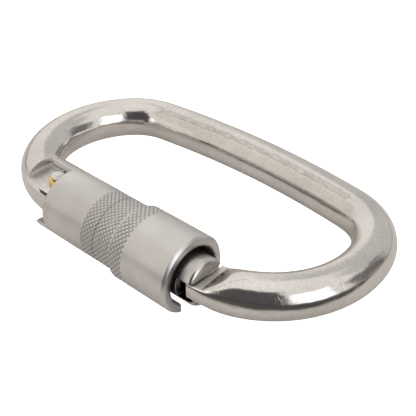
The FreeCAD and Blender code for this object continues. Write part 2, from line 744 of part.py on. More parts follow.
# ---------------------------------------------------------------- checks and files

doc.recompute()
for item in doc.Objects:
    if "Invalid" in item.State or "Error" in item.State:
        raise RuntimeError("%s failed to compute: %s" % (item.Name, item.State))
for piece in pieces:
    if piece.Shape.isNull() or not piece.Shape.isValid() or len(piece.Shape.Solids) != 1:
        raise RuntimeError(piece.Label + " is not one valid solid")

os.makedirs("parts", exist_ok=True)
for piece in pieces:
    piece.Shape.exportStep("parts/%s.step" % piece.Label)
    box = piece.Shape.BoundBox
    print("%-18s volume %8.1f" % (piece.Label, piece.Shape.Volume),
          "x %6.2f..%6.2f" % (box.XMin, box.XMax),
          "y %6.2f..%6.2f" % (box.YMin, box.YMax),
          "z %6.2f..%6.2f" % (box.ZMin, box.ZMax))
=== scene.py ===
"""Looks of the oval twist-lock carabiner: fine meshes and procedural metals around the CAD frame."""
import json
import math

import bmesh
import bpy
import numpy as np
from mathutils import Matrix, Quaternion, Vector


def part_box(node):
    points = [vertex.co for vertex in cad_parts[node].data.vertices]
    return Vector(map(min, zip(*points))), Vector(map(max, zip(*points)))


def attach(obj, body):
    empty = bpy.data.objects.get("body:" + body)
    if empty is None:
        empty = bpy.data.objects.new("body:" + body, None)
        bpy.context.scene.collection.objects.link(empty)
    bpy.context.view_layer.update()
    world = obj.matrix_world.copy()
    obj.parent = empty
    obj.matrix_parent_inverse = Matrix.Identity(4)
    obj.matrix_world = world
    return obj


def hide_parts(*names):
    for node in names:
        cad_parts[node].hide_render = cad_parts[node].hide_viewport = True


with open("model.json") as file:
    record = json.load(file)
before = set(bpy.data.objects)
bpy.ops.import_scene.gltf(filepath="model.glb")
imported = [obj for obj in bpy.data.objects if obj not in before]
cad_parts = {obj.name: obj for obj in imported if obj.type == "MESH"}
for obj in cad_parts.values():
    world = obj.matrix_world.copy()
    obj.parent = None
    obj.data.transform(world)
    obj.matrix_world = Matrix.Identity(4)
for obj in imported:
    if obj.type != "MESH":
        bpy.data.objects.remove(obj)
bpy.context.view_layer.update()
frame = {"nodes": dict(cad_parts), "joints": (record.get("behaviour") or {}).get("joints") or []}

MM = 0.001
TAU = 2 * math.pi

# ---------------------------------------------------------------- places read from the frame

JOINTS = {joint["name"]: joint for joint in frame["joints"]}
HINGE = JOINTS["gate_hinge"]["pos_m"]
HINGE_X = HINGE[0] / MM
GATE_Y = HINGE[1] / MM


def node_box(node):
    """Lowest and highest corner of a CAD node in millimetres."""
    low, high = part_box(node)
    return low / MM, high / MM


_, bow_high = node_box("bow")
sleeve_low, sleeve_high = node_box("locking_sleeve")
gate_low, gate_high = node_box("gate_barrel")
bush_low, bush_high = node_box("upper_hinge_bush")
rivet_low, rivet_high = node_box("hinge_rivet")

# ---------------------------------------------------------------- sizes in millimetres

ROD = bow_high.z
NOSE_REACH = 52.75
HINGE_REACH = 51.75
NOSE_CORNER = 24.9
NOSE_LEAD = 17.5
HINGE_CORNER = 23.5
HINGE_LEAD = 15.8
SPINE_BOW = 220.0
HINGE_STEP = -33.5
TENON_HALF = 2.4
TENON_SIDE = 4.2
TENON_END = HINGE_X + 3.6
NOSE_STEP = 27.7
NOSE_SLANT = -0.10
NOSE_RAMP_END = 32.6
RAMP_SHARPNESS = 6.0
TONGUE_HALF = 2.05
TONGUE_TIP = 46.4
LEAD_OUTER = 26.8
LEAD_INNER = 22.9
LEAD_DEPTH = 3.1
LEAD_REACH = 8.0
LATCH_X = 25.0
LATCH_SEAT = 0.9
MOUTH_REACH = 7.0
MOUTH_FLARE = 0.5
PIN_HOLE = 1.45
RIM_ROUNDING = 0.55
THROUGH = 8.0

SLEEVE_BORE = 7.0
SLEEVE_RADIUS = 8.5
COLLAR_RADIUS = sleeve_high.z
GUARD_END = sleeve_low.x
SLEEVE_HINGE_END = -20.0
SLEEVE_NOSE_END = sleeve_high.x
GUARD_TAB_END = -24.2
GUARD_UPPER = math.radians(77.0)
GUARD_LOWER = math.radians(200.0)
GUARD_TAB = math.radians(-100.0)
GUARD_CORNER = 1.4
TRACK_START = 6.65
TRACK_END = 8.35
TRACK_RADIUS = 7.9
SLOT_HALF = 4.0
SLOT_END = 12.3

GATE_RADIUS = 5.7
BAND_START = -17.0
BAND_END = -12.5
BAND_RADIUS = 6.93
BAND_BEVEL = 0.13
RELIEF_END = 5.0
RELIEF_RADIUS = 5.2
FORK_BOTTOM = 21.9
FORK_HALF = 2.4
HINGE_SLOT_END = -17.3
EAR_FLAT_END = -19.5
EAR_HALF_WIDTH = 4.2
EAR_HALF_HEIGHT = 3.2
RIVET_HOLE = 1.42
LATCH_RADIUS = 0.8
PLUNGER_BORE = 1.9
PLUNGER_OFFSET = 1.6
TIP_ROUNDING = 1.1
TIP_BEVEL_START = 2.8
TIP_BEVEL_DEPTH = 1.1
GATE_TIP = gate_high.x
EAR_END = gate_low.x


# ---------------------------------------------------------------- mesh helpers

def new_object(name, vertices, faces, smooth=True):
    """A mesh object from points in millimetres."""
    mesh = bpy.data.meshes.new(name)
    mesh.from_pydata((np.asarray(vertices, float) * MM).tolist(), [], faces)
    mesh.validate()
    mesh.update()
    if smooth:
        mesh.shade_smooth()
    piece = bpy.data.objects.new(name, mesh)
    bpy.context.scene.collection.objects.link(piece)
    return piece


def grid_faces(rows, columns):
    """Quads between neighbouring rows of a grid whose columns wrap round."""
    faces = []
    for i in range(rows - 1):
        for j in range(columns):
            a = i * columns + j
            b = i * columns + (j + 1) % columns
            faces.append((a, b, b + columns, a + columns))
    return faces


def boolean(target, cutter, operation):
    """Combine two closed meshes and keep the result in target."""
    modifier = target.modifiers.new("join", "BOOLEAN")
    modifier.operation = operation
    modifier.solver = "MANIFOLD"
    modifier.object = cutter
    apply_modifiers(target)
    bpy.data.objects.remove(cutter)


def apply_modifiers(piece):
    """Replace the mesh by what its modifiers make of it."""
    graph = bpy.context.evaluated_depsgraph_get()
    mesh = bpy.data.meshes.new_from_object(piece.evaluated_get(graph))
    piece.modifiers.clear()
    piece.data = mesh


def shade(piece, angle_degrees=35.0):
    """Smooth shading that keeps edges sharper than the given angle."""
    piece.data.shade_smooth()
    edit = bmesh.new()
    edit.from_mesh(piece.data)
    limit = math.radians(angle_degrees)
    for edge in edit.edges:
        if len(edge.link_faces) == 2:
            edge.smooth = edge.calc_face_angle(0.0) < limit
    edit.to_mesh(piece.data)
    edit.free()


def place(piece, body, material, slot_name, *nodes):
    """Give a piece its material, fix it to its body and let it stand for CAD nodes; the slot name is not
    used.
    """
    piece.data.materials.clear()
    piece.data.materials.append(material)
    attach(piece, body)
    if nodes:
        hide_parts(*nodes)


def box_cutter(name, low, high):
    """A closed box between two corners."""
    x = (low[0], high[0])
    y = (low[1], high[1])
    z = (low[2], high[2])
    corners = [(x[i], y[j], z[k]) for i in (0, 1) for j in (0, 1) for k in (0, 1)]
    faces = [(0, 1, 3, 2), (4, 6, 7, 5), (0, 4, 5, 1), (2, 3, 7, 6), (0, 2, 6, 4), (1, 5, 7, 3)]
    return new_object(name, corners, faces, smooth=False)


def prism(name, outline, low, high, axis):
    """A closed prism: a flat outline carried from low to high along x or z."""
    points = []
    for level in (low, high):
        for a, b in outline:
            points.append((level, a, b) if axis == "x" else (a, b, level))
    count = len(outline)
    faces = [tuple(range(count))[::-1], tuple(range(count, 2 * count))]
    for i in range(count):
        j = (i + 1) % count
        faces.append((i, j, count + j, count + i))
    piece = new_object(name, points, faces, smooth=False)
    fix_normals(piece)
    return piece


def fix_normals(piece):
    """Point every face outwards."""
    edit = bmesh.new()
    edit.from_mesh(piece.data)
    bmesh.ops.recalc_face_normals(edit, faces=edit.faces)
    edit.to_mesh(piece.data)
    edit.free()


def circle_outline(x, y, radius, count=48):
    """A circle as a closed outline."""
    return [(x + radius * math.cos(TAU * i / count), y + radius * math.sin(TAU * i / count))
            for i in range(count)]


def drill(target, name, x, radius):
    """Cut a round hole downwards right through the target, on the gate's middle line."""
    hole = prism(name, circle_outline(x, GATE_Y, radius), -THROUGH, THROUGH, "z")
    boolean(target, hole, "DIFFERENCE")


def rounded_outline(outline, radius, steps=6):
    """Round every corner of a polygon with an arc of the given radius."""
    result = []
    count = len(outline)
    for i in range(count):
        corner = Vector(outline[i])
        before = (Vector(outline[i - 1]) - corner).normalized()
        after = (Vector(outline[(i + 1) % count]) - corner).normalized()
        half = before.angle(after) / 2
        reach = radius / math.tan(half)
        start = corner + before * reach
        end = corner + after * reach
        for k in range(steps + 1):
            t = k / steps
            result.append(tuple(start.lerp(corner, t).lerp(corner.lerp(end, t), t)))
    return result


def lathe(name, profile, along="x", centre=(0.0, 0.0, 0.0), columns=128):
    """A closed turned piece from (position, radius) pairs. The profile starts and ends on the axis, or
    closes on itself round a bore."""
    profile = np.asarray(profile, float)
    on_axis = profile[0][1] < 1e-6 and profile[-1][1] < 1e-6
    body = profile[1:-1] if on_axis else profile
    angle = np.arange(columns) * TAU / columns
    points = []
    for position, radius in body:
        for a in angle:
            points.append((position, radius * math.cos(a), radius * math.sin(a)))
    faces = grid_faces(len(body), columns)
    if on_axis:
        first = len(points)
        points.append((profile[0][0], 0.0, 0.0))
        points.append((profile[-1][0], 0.0, 0.0))
        end = (len(body) - 1) * columns
        for j in range(columns):
            k = (j + 1) % columns
            faces.append((first, k, j))
            faces.append((first + 1, end + j, end + k))
    else:
        end = (len(body) - 1) * columns
        for j in range(columns):
            k = (j + 1) % columns
            faces.append((end + j, end + k, k, j))
    points = np.array(points)
    if along == "z":
        points = points[:, [1, 2, 0]]
    points = points + np.array(centre)
    piece = new_object(name, points, faces)
    fix_normals(piece)
    return piece


def arc_points(centre, radius, start, end, steps=6):
    """Points on an arc in a profile, angles in degrees."""
    result = []
    for i in range(steps + 1):
        a = math.radians(start + (end - start) * i / steps)
        result.append((centre[0] + radius * math.cos(a), centre[1] + radius * math.sin(a)))
    return result


# ---------------------------------------------------------------- bow

def corner_arcs(reach, corner, lead):
    """One end of the loop drawn towards +X: centres of its corner and of the arc leading into the
    spine, and the angles where they join each other and the spine."""
    gate = Vector((reach - ROD - corner, GATE_Y + corner))
    spine = Vector((0.0, -GATE_Y - SPINE_BOW))
    apart = spine - gate
    near_side = corner - lead
    far_side = SPINE_BOW - lead
    foot = (near_side ** 2 - far_side ** 2 + apart.length_squared) / (2 * apart.length)
    height = math.sqrt(near_side ** 2 - foot ** 2)
    across = apart.normalized()
    middle = gate + across * foot + Vector((-across.y, across.x)) * height
    join = math.atan2(middle.y - gate.y, middle.x - gate.x)
    spine_join = math.atan2(middle.y - spine.y, middle.x - spine.x)
    return gate, middle, join, spine_join


def bow_arcs():
    """The bar's centre line from nose to hinge as arcs of (centre, radius, start, end)."""
    nose, nose_middle, nose_join, nose_top = corner_arcs(NOSE_REACH, NOSE_CORNER, NOSE_LEAD)
    hinge, hinge_middle, hinge_join, hinge_top = corner_arcs(HINGE_REACH, HINGE_CORNER, HINGE_LEAD)
    spine = Vector((0.0, -GATE_Y - SPINE_BOW))
    hinge = Vector((-hinge.x, hinge.y))
    hinge_middle = Vector((-hinge_middle.x, hinge_middle.y))
    return [
        (nose, NOSE_CORNER, -math.pi / 2, nose_join),
        (nose_middle, NOSE_LEAD, nose_join, nose_top),
        (spine, SPINE_BOW, nose_top, math.pi - hinge_top),
        (hinge_middle, HINGE_LEAD, math.pi - hinge_top, math.pi - hinge_join),
        (hinge, HINGE_CORNER, math.pi - hinge_join, 1.5 * math.pi),
    ]


ARCS = bow_arcs()


def fibre_angle(centre, radius, plane_x, slant, guess):
    """The angle at which fibres of the bent bar, arcs of the given radii, cross a slanting plane."""
    angle = np.full_like(radius, guess)
    for _ in range(12):
        x = centre.x + radius * np.cos(angle)
        y = centre.y + radius * np.sin(angle)
        gap = x - plane_x - slant * (y - GATE_Y)
        slope = -radius * np.sin(angle) - slant * radius * np.cos(angle)
        angle = angle - gap / slope
    return angle


def rod_mesh(columns=160):
    """The round bar between its two milled steps, with rounded rims and a scooped face at the hinge."""
    around = np.arange(columns) * TAU / columns
    nose_centre, nose_radius = ARCS[0][0], ARCS[0][1]
    hinge_centre, hinge_radius = ARCS[-1][0], ARCS[-1][1]
    guess = {"nose": -math.pi / 2 + math.asin((NOSE_STEP - nose_centre.x) / nose_radius),
             "hinge": 1.5 * math.pi - math.asin((hinge_centre.x - HINGE_STEP) / hinge_radius)}

    def end_row(end, radius, back):
        """One ring of points parallel to the end face, set back from it along the bar."""
        offset = radius * np.cos(around)
        if end == "nose":
            fibres = nose_radius + offset
            angle = fibre_angle(nose_centre, fibres, NOSE_STEP, NOSE_SLANT, guess[end])
            angle = angle + back / nose_radius
            centre, bend = nose_centre, nose_radius
        else:
            angle = fibre_angle(hinge_centre, hinge_radius + offset, HINGE_STEP, 0.0, guess[end])
            angle = angle - back / hinge_radius
            centre, bend = hinge_centre, hinge_radius
        return np.stack([centre.x + (bend + offset) * np.cos(angle),
                         centre.y + (bend + offset) * np.sin(angle),
                         radius * np.sin(around)], 1)

    def bar_row(centre, bend, angle):
        offset = ROD * np.cos(around)
        return np.stack([centre.x + (bend + offset) * np.cos(angle),
                         centre.y + (bend + offset) * np.sin(angle),
                         ROD * np.sin(around)], 1)

    def cap_rows(end):
        """Rings from the middle of the end face out to its rim, then round the rim."""
        rows = []
        for radius in np.linspace(0.12, ROD - RIM_ROUNDING, 46):
            rows.append(end_row(end, radius, 0.0))
        for t in np.linspace(0.0, math.pi / 2, 9)[1:]:
            radius = ROD - RIM_ROUNDING * (1 - math.sin(t))
            rows.append(end_row(end, radius, RIM_ROUNDING * (1 - math.cos(t))))
        return rows

    transition = 7.0
    rows = cap_rows("nose")
    for step in np.linspace(0.0, 1.0, 15)[1:]:
        skewed = end_row("nose", ROD, RIM_ROUNDING + step * transition)
        square = bar_row(nose_centre, nose_radius,
                         guess["nose"] + (RIM_ROUNDING + step * transition) / nose_radius)
        weight = step * step * (3 - 2 * step)
        rows.append(skewed * (1 - weight) + square * weight)
    first = guess["nose"] + (RIM_ROUNDING + transition) / nose_radius
    last = guess["hinge"] - (RIM_ROUNDING + transition) / hinge_radius
    for index, (centre, bend, start, end) in enumerate(ARCS):
        begin = first if index == 0 else start
        finish = last if index == len(ARCS) - 1 else end
        count = max(8, int(bend * (finish - begin) / 0.55))
        angles = np.linspace(begin, finish, count + 1)[1:]
        if index == len(ARCS) - 1:
            angles = angles[:-1]
        for angle in angles:
            rows.append(bar_row(centre, bend, angle))
    hinge_rows = []
    for step in np.linspace(0.0, 1.0, 15):
        skewed = end_row("hinge", ROD, RIM_ROUNDING + step * transition)
        square = bar_row(hinge_centre, hinge_radius,
                         guess["hinge"] - (RIM_ROUNDING + step * transition) / hinge_radius)
        weight = step * step * (3 - 2 * step)
        hinge_rows.append(skewed * (1 - weight) + square * weight)
    rows.extend(hinge_rows[:0:-1])
    rows.extend(cap_rows("hinge")[::-1])
    points = np.concatenate(rows)
    ease_nose(points)
    count = len(rows)

    faces = grid_faces(count, columns)
    nose_middle = points[:columns].mean(0)
    hinge_middle = points[-columns:].mean(0)
    top = len(points)
    points = np.concatenate([points, [nose_middle, hinge_middle]])
    tail = (count - 1) * columns
    for j in range(columns):
        k = (j + 1) % columns
        faces.append((top, k, j))
        faces.append((top + 1, tail + j, tail + k))
    scoop(points)
    piece = new_object("bow", points, faces)
    fix_normals(piece)
    return piece


def ease_nose(points):
    """Slope the bar's top and bottom down to the tongue's flats, with no hard line where the slope ends."""
    rise = (ROD - TONGUE_HALF) / (NOSE_RAMP_END - NOSE_STEP)
    at_nose = (points[:, 1] < GATE_Y + NOSE_CORNER / 2) & (points[:, 0] > 0)
    beyond = points[:, 0] - NOSE_STEP - NOSE_SLANT * (points[:, 1] - GATE_Y)
    limit = TONGUE_HALF + rise * np.maximum(beyond, 0.0)
    crowding = (np.abs(points[:, 2]) / limit) ** RAMP_SHARPNESS
    eased = points[:, 2] / (1 + crowding) ** (1 / RAMP_SHARPNESS)
    points[at_nose, 2] = eased[at_nose]


def scoop(points):
    """Hollow the half-moon faces that the cutter left above and below the tenon."""
    lip = 0.42
    depth = 1.25
    bar_middle = ARCS[-1][0].y - math.sqrt(HINGE_CORNER ** 2 - (ARCS[-1][0].x - HINGE_STEP) ** 2)
    on_face = np.abs(points[:, 0] - HINGE_STEP) < 1e-4
    height = np.abs(points[:, 2])
    from_middle = np.hypot((points[:, 1] - bar_middle) * 0.92, points[:, 2])
    inside = np.minimum(height - TENON_HALF - lip, ROD - RIM_ROUNDING - lip * 0.6 - from_middle)
    share = np.clip(inside / 0.75, 0.0, 1.0)
    points[on_face, 0] -= (depth * np.sin(share * math.pi / 2))[on_face]


def milled_bar(name, arc, start_x, end_x, half, side_limit=None, tip_radius=None):
    """A stretch of the bent bar milled to a flat of half thickness `half`, drawn as slices across x."""
    rows = 70
    columns = 160
    corner = 0.1
    centre, bend = arc[0], arc[1]
    around = np.arange(columns) * TAU / columns
    offset = ROD * np.cos(around)
    slices = []
    for step in np.linspace(0.0, 1.0, rows):
        x = start_x + (end_x - start_x) * step
        beyond = max(abs(x) - abs(centre.x), 0.0)
        y = GATE_Y + bend - np.sqrt((bend + offset) ** 2 - beyond ** 2)
        z = ROD * np.sin(around)
        z = np.sign(z) * soft_minimum(np.abs(z), half, corner)
        if side_limit is not None:
            y = soft_minimum(y, GATE_Y + side_limit, corner)
        x = np.full(columns, x)
        if tip_radius is not None:
            tip = HINGE_X + np.sqrt(tip_radius ** 2 - (y - GATE_Y) ** 2)
            x = tip * (1 - step) + end_x * step
        slices.append(np.stack([x, y, z], 1))
    return closed_tube(name, slices)


def soft_minimum(a, b, width):
    """The smaller of two values, with the corner between them rounded."""
    return 0.5 * (a + b - np.sqrt((a - b) ** 2 + width * width))


def closed_tube(name, slices):
    """A closed mesh through rings of points, with a fan at each end."""
    columns = len(slices[0])
    points = np.concatenate(slices + [[slices[0].mean(0), slices[-1].mean(0)]])
    faces = grid_faces(len(slices), columns)
    first = len(slices) * columns
    tail = (len(slices) - 1) * columns
    for j in range(columns):
        k = (j + 1) % columns
        faces.append((first, k, j))
        faces.append((first + 1, tail + j, tail + k))
    piece = new_object(name, points, faces)
    fix_normals(piece)
    return piece


def make_bow(material):
    """The bent bar with its tenon, pin hole and hooked tongue."""
    bow = rod_mesh()
    tenon_start = HINGE_STEP - 1.6
    tenon = milled_bar("tenon", ARCS[-1], tenon_start, TENON_END, TENON_HALF, side_limit=TENON_SIDE)
    boolean(bow, tenon, "UNION")
    tongue = milled_bar("tongue", ARCS[0], ARCS[0][0].x + 0.5, NOSE_STEP + 1.4, TONGUE_HALF,
                        tip_radius=TONGUE_TIP)
    boolean(bow, tongue, "UNION")
    lead = [(LEAD_INNER - THROUGH, GATE_Y - LEAD_DEPTH), (LEAD_INNER - THROUGH, GATE_Y - LEAD_REACH),
            (LEAD_OUTER, GATE_Y - LEAD_REACH), (LEAD_INNER, GATE_Y - LEAD_DEPTH)]
    boolean(bow, prism("lead", lead, -THROUGH, THROUGH, "z"), "DIFFERENCE")
    drill(bow, "pin_hole", HINGE_X, PIN_HOLE)
    drill(bow, "latch_seat", LATCH_X, LATCH_SEAT)
    mouth_inner = LATCH_X - LATCH_SEAT
    mouth_outer = LATCH_X + LATCH_SEAT
    mouth_end = GATE_Y + MOUTH_REACH
    mouth = [(mouth_inner, GATE_Y), (mouth_outer, GATE_Y), (mouth_outer, mouth_end),
             (mouth_inner - MOUTH_FLARE, mouth_end)]
    boolean(bow, prism("latch_mouth", mouth, -THROUGH, THROUGH, "z"), "DIFFERENCE")
    shade(bow)
    bow.name = "bow_bar"
    place(bow, "bow", material, "bow_steel", "bow")


# ---------------------------------------------------------------- sleeve

KNURL_LINES = 43
KNURL_DEPTH = 0.2
KNURL_FLAT = 0.50
KNURL_ZONES = ((-6.9, 3.35, 1.2, 0.25), (4.35, 8.35, 0.25, 0.12))
SEAM_X = -2.05
SEAM_DEPTH = 0.16
COLLAR_START = 4.4
COLLAR_BEVEL = 3.7
NOSE_BEVEL = 0.55


def knurl(x, around):
    """Depth of the diamond knurl: two sets of fine grooves crossing at 45 degrees, in two zones."""
    share = 0.0
    for start, stop, fade_in, fade_out in KNURL_ZONES:
        zone = min((x - start) / fade_in, (stop - x) / fade_out)
        share = max(share, min(zone, 1.0))
    depth = np.zeros_like(around)
    for side in (-1, 1):
        phase = around * KNURL_LINES / TAU + side * x / (TAU * SLEEVE_RADIUS / KNURL_LINES)
        distance = np.abs((phase % 1.0) - 0.5) * 2
        depth = np.maximum(depth, np.clip((distance - KNURL_FLAT) / (1 - KNURL_FLAT), 0.0, 1.0))
    patchy = 0.86 + 0.14 * np.sin(around * 3 + 0.7 * x) * np.sin(around * 5 - 1.1 * x + 1.0)
    return KNURL_DEPTH * depth * patchy * share


def sleeve_outer_radius(x):
    """Outer radius before the knurl: plain tube, slope and collar."""
    if x < COLLAR_BEVEL:
        return SLEEVE_RADIUS
    if x < COLLAR_START:
        share = (x - COLLAR_BEVEL) / (COLLAR_START - COLLAR_BEVEL)
        return SLEEVE_RADIUS + (COLLAR_RADIUS - SLEEVE_RADIUS) * share
    return COLLAR_RADIUS


def sleeve_mesh():
    """The whole tube before its window, guard and slot are cut."""
    columns = 12 * KNURL_LINES
    around = np.arange(columns) * TAU / columns
    edge = 0.14
    outer = [(GUARD_END + edge * (1 - math.cos(t)), SLEEVE_RADIUS - edge * (1 - math.sin(t)))
             for t in np.linspace(0, math.pi / 2, 4)]
    knurl_start = KNURL_ZONES[0][0]
    knurl_stop = KNURL_ZONES[-1][1]
    stations = list(np.linspace(GUARD_END + 1, knurl_start - 0.1, 24))
    stations += list(np.arange(knurl_start, knurl_stop + 0.2, 0.1))
    stations += list(np.linspace(knurl_stop + 0.4, SLEEVE_NOSE_END - NOSE_BEVEL - 0.5, 16))
    outer += [(x, sleeve_outer_radius(x)) for x in stations]
    bevel = NOSE_BEVEL
    outer += arc_points((SLEEVE_NOSE_END - bevel - 0.15, COLLAR_RADIUS - 0.15), 0.15, 90, 50, 3)
    outer += arc_points((SLEEVE_NOSE_END - 0.12, COLLAR_RADIUS - bevel - 0.12), 0.12, 45, 0, 3)
    outer += [(SLEEVE_NOSE_END, SLEEVE_BORE + 0.3)]
    inner = [(SLEEVE_NOSE_END - 0.09, SLEEVE_BORE + 0.09), (SLEEVE_NOSE_END - 0.3, SLEEVE_BORE),
             (SLEEVE_NOSE_END - 4.0, SLEEVE_BORE), (12.0, SLEEVE_BORE),
             (TRACK_END + 0.02, SLEEVE_BORE), (TRACK_END, TRACK_RADIUS),
             (TRACK_START, TRACK_RADIUS), (TRACK_START - 0.02, SLEEVE_BORE),
             (0.0, SLEEVE_BORE), (-12.0, SLEEVE_BORE), (SLEEVE_HINGE_END - 0.5, SLEEVE_BORE)]
    inner += ring_marks()
    inner += [(GUARD_END + 0.1, SLEEVE_BORE), (GUARD_END, SLEEVE_BORE + 0.1)]
    slices = []
    for x, radius in outer:
        r = np.full(columns, radius)
        if knurl_start < x < knurl_stop:
            r = r - knurl(x, around)
        r = r - SEAM_DEPTH * math.exp(-((x - SEAM_X) / 0.1) ** 2)
        slices.append(np.stack([np.full(columns, x), r * np.cos(around), r * np.sin(around)], 1))
    for x, radius in inner:
        y = radius * np.cos(around)
        slices.append(np.stack([np.full(columns, x), y, radius * np.sin(around)], 1))
    points = np.concatenate(slices)
    points[:, 1] += GATE_Y
    faces = grid_faces(len(slices), columns)
    tail = (len(slices) - 1) * columns
    for j in range(columns):
        k = (j + 1) % columns
        faces.append((tail + j, tail + k, k, j))
    piece = new_object("sleeve", points, faces)
    fix_normals(piece)
    return piece


def ring_marks():
    """Shallow boring-tool rings inside the guard, from the hinge end of the bore outwards."""
    marks = []
    for i in range(9):
        x = SLEEVE_HINGE_END - 1.0 - i * 0.75
        marks.append((x, SLEEVE_BORE))
        marks.append((x - 0.12, SLEEVE_BORE + 0.07))
        marks.append((x - 0.24, SLEEVE_BORE))
    return marks


def corner_cutter(name, end_x, edge, radius, towards, low, high, axis):
    """Rounds the corner where the guard's end meets a side; `towards` points into the metal."""
    outside = 0.6
    outline = [(end_x - outside, edge - towards * outside), (end_x + radius, edge - towards * outside)]
    for i in range(9):
        a = math.radians(90.0 * i / 8)
        outline.append((end_x + radius - radius * math.sin(a),
                        edge + towards * (radius - radius * math.cos(a))))
    outline.append((end_x - outside, edge + towards * radius))
    piece = prism(name, outline, low, high, "z")
    if axis == "y":
        for vertex in piece.data.vertices:
            x, y, z = vertex.co
            vertex.co = (x, z, y)
        fix_normals(piece)
    return piece


def make_sleeve(material):
    """The knurled tube with its window, guard, tab and nose slot cut."""
    sleeve = sleeve_mesh()
    far = 16.0

    def spoke(angle):
        return (GATE_Y + far * math.cos(angle), far * math.sin(angle))

    window = [(GATE_Y, 0.0), spoke(GUARD_UPPER), (GATE_Y - far, far), spoke(GUARD_LOWER)]
    boolean(sleeve, prism("window", window, GUARD_END - 1, SLEEVE_HINGE_END, "x"), "DIFFERENCE")
    tab = [(GATE_Y, 0.0), (GATE_Y - far, 0.0), (GATE_Y - far, -far), spoke(GUARD_TAB)]
    boolean(sleeve, prism("tab", tab, GUARD_END - 1, GUARD_TAB_END, "x"), "DIFFERENCE")
    middle = (SLEEVE_BORE + SLEEVE_RADIUS) / 2
    upper_y = GATE_Y + middle * math.cos(GUARD_UPPER)
    lower_z = middle * math.sin(GUARD_LOWER)
    upper_corner = corner_cutter("corner", GUARD_END, upper_y, GUARD_CORNER, 1, 5.0, 10.0, "z")
    boolean(sleeve, upper_corner, "DIFFERENCE")
    lower_corner = corner_cutter("corner", GUARD_TAB_END, lower_z, GUARD_CORNER, -1,
                                 GATE_Y - 10, GATE_Y - 5, "y")
    boolean(sleeve, lower_corner, "DIFFERENCE")
    slot = rounded_outline([(SLOT_END, GATE_Y - SLOT_HALF), (SLEEVE_NOSE_END + 3, GATE_Y - SLOT_HALF),
                            (SLEEVE_NOSE_END + 3, GATE_Y + SLOT_HALF), (SLOT_END, GATE_Y + SLOT_HALF)], 1.0)
    boolean(sleeve, prism("slot", slot, -12.0, 0.0, "z"), "DIFFERENCE")
    shade(sleeve, 50.0)
    sleeve.name = "twist_sleeve"
    place(sleeve, "sleeve", material, "sleeve_steel", "locking_sleeve")


# ---------------------------------------------------------------- gate

def make_gate(material):
    """Turned gate: eared hinge end, guide collar, relieved middle, rounded and forked nose end."""
    start = EAR_FLAT_END
    round_tip = TIP_ROUNDING
    profile = [(start, 0.0), (start, GATE_RADIUS - 0.12), (start + 0.12, GATE_RADIUS),
               (BAND_START, GATE_RADIUS), (BAND_START, BAND_RADIUS - BAND_BEVEL),
               (BAND_START + BAND_BEVEL, BAND_RADIUS), (BAND_END - BAND_BEVEL, BAND_RADIUS),
               (BAND_END, BAND_RADIUS - BAND_BEVEL), (BAND_END, RELIEF_RADIUS),
               (RELIEF_END, RELIEF_RADIUS), (RELIEF_END, GATE_RADIUS), (12.0, GATE_RADIUS),
               (18.0, GATE_RADIUS)]
    profile += arc_points((GATE_TIP - round_tip, GATE_RADIUS - round_tip), round_tip, 90, 12, 14)
    profile += arc_points((GATE_TIP - 0.25, GATE_RADIUS - round_tip - 0.25), 0.25, 35, 0, 4)
    profile += [(GATE_TIP, 0.0)]
    gate = lathe("gate", profile, centre=(0.0, GATE_Y, 0.0), columns=192)
    slot_half = TENON_HALF + 0.1
    for side in (-1, 1):
        near_y = GATE_Y - EAR_HALF_WIDTH
        far_y = GATE_Y + EAR_HALF_WIDTH
        outline = rounded_outline([(EAR_END, near_y), (start + 1.0, near_y),
                                   (start + 1.0, far_y), (EAR_END, far_y)], 1.2)
        low, high = sorted((side * slot_half, side * EAR_HALF_HEIGHT))
        boolean(gate, prism("ear", outline, low, high, "z"), "UNION")
    hinge_slot = box_cutter("hinge_slot", (EAR_END - 1, GATE_Y - THROUGH, -slot_half),
                            (HINGE_SLOT_END, GATE_Y + THROUGH, slot_half))
    boolean(gate, hinge_slot, "DIFFERENCE")
    fork = box_cutter("fork", (FORK_BOTTOM, GATE_Y - THROUGH, -FORK_HALF),
                      (GATE_TIP + 1, GATE_Y + THROUGH, FORK_HALF))
    boolean(gate, fork, "DIFFERENCE")
    side = GATE_RADIUS + 1.0
    bevel = [(GATE_TIP, GATE_Y + TIP_BEVEL_START), (GATE_TIP + 1.0, GATE_Y + TIP_BEVEL_START),
             (GATE_TIP + 1.0, GATE_Y + side), (GATE_TIP - TIP_BEVEL_DEPTH, GATE_Y + side)]
    boolean(gate, prism("tip_bevel", bevel, -THROUGH, THROUGH, "z"), "DIFFERENCE")
    drill(gate, "rivet_hole", HINGE_X, RIVET_HOLE)
    latch_hole = prism("latch_hole", circle_outline(LATCH_X, GATE_Y, LATCH_RADIUS), -THROUGH, 4, "z")
    boolean(gate, latch_hole, "DIFFERENCE")
    plunger_outline = circle_outline(GATE_Y + PLUNGER_OFFSET, 0.0, PLUNGER_BORE)
    boolean(gate, prism("bore", plunger_outline, HINGE_SLOT_END - 0.1, 4.0, "x"), "DIFFERENCE")
    shade(gate)
    gate.name = "gate_bar"
    place(gate, "gate", material, "turned_steel", "gate_barrel")


def make_rivet(material):
    """Hinge pin with a dished, round-edged head at each end."""
    head = rivet_high.z
    radius = (rivet_high.x - rivet_low.x) / 2
    shank = 1.4
    under = head - 0.6
    half = [(head - 0.16, 0.0), (head - 0.15, 0.5), (head - 0.1, 1.0), (head - 0.02, 1.35)]
    half += arc_points((head - 0.2, radius - 0.2), 0.2, 0, 90, 6)
    half += [(under + 0.08, radius), (under, radius - 0.08), (under, shank + 0.05), (under - 0.3, shank)]
    profile = half + [(-along, across) for along, across in reversed(half)]
    rivet = lathe("rivet", profile, along="z", centre=(HINGE_X, GATE_Y, 0.0), columns=96)
    shade(rivet, 40.0)
    rivet.name = "rivet"
    place(rivet, "gate", material, "rivet_steel", "hinge_rivet")


